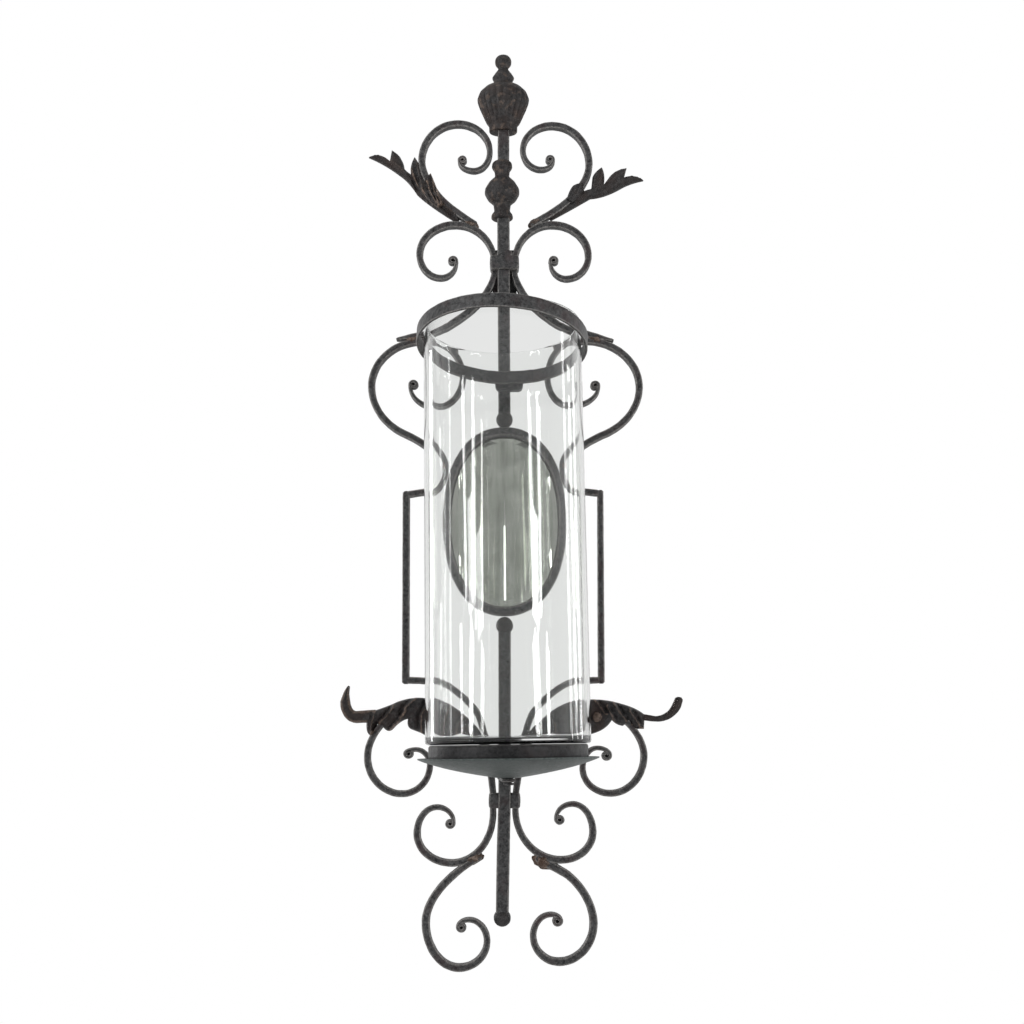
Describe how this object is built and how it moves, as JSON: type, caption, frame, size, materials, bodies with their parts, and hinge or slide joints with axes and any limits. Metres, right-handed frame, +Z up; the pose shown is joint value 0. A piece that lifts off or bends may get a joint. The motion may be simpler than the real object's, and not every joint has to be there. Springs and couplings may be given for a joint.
{
  "type": "wall sconce candle holder",
  "caption": "Forged iron wall sconce with scrolls, cast leaves, an oval mirror, a hoop and drip pan, holding a tall clear hurricane glass for a pillar candle.",
  "frame": {"origin": "on the wall plane, on the flat middle of the hanger plate, behind the upper collar", "axes": "+Z up, +Y into the wall, -Y out towards the room, +X to the viewer's right"},
  "size_m": [0.3455, 0.1913, 0.9721],
  "materials": {
    "forged_iron": "hammered, blackened and waxed",
    "cast_iron": "sand cast, blackened, brown at the edges",
    "pan_sheet": "spun sheet, satin charcoal",
    "silvered_glass": "bevelled, slightly aged",
    "backing_board": "plain hardboard",
    "felt_pad": "pressed felt",
    "clear_glass": "clear, blown in a mould, cut and fire-polished rim"
  },
  "bodies": {
    "frame": {"finial_stem": "forged_iron", "main_bar_upper": "forged_iron", "main_bar_lower": "forged_iron", "upper_collar": "forged_iron", "lower_collar": "forged_iron", "mirror_ring": "forged_iron", "mirror_clip_top": "forged_iron", "mirror_clip_bottom": "forged_iron", "mirror_clip_left": "forged_iron", "mirror_clip_right": "forged_iron", "glass_hoop": "forged_iron", "hoop_spacer": "forged_iron", "hoop_rivet": "forged_iron", "glass_drum": "forged_iron", "pan_screw": "forged_iron", "pan_arm": "forged_iron", "hanger_plate": "forged_iron", "crest_scroll_left": "forged_iron", "shoulder_scroll_left": "forged_iron", "side_scroll_left": "forged_iron", "side_upright_left": "forged_iron", "lower_scroll_left": "forged_iron", "drop_scroll_left": "forged_iron", "base_scroll_left": "forged_iron", "crest_scroll_right": "forged_iron", "shoulder_scroll_right": "forged_iron", "side_scroll_right": "forged_iron", "side_upright_right": "forged_iron", "lower_scroll_right": "forged_iron", "drop_scroll_right": "forged_iron", "base_scroll_right": "forged_iron", "finial_urn": "cast_iron", "finial_baluster": "cast_iron", "ball_above_mirror": "cast_iron", "ball_below_mirror": "cast_iron", "drop_ball": "cast_iron", "crest_leaf_left": "cast_iron", "base_leaf_left": "cast_iron", "crest_leaf_right": "cast_iron", "base_leaf_right": "cast_iron", "drip_pan": "pan_sheet", "mirror_glass": "silvered_glass", "mirror_backing": "backing_board", "wall_bumper": "felt_pad"},
    "glass": {"hurricane_glass": "clear_glass"}
  },
  "joints": [
    {"name": "glass_lift", "type": "slide", "parent": "frame", "child": "glass", "axis": [-0.014, 0, 0.9999], "range_m": [0, 0.41]}
  ]
}
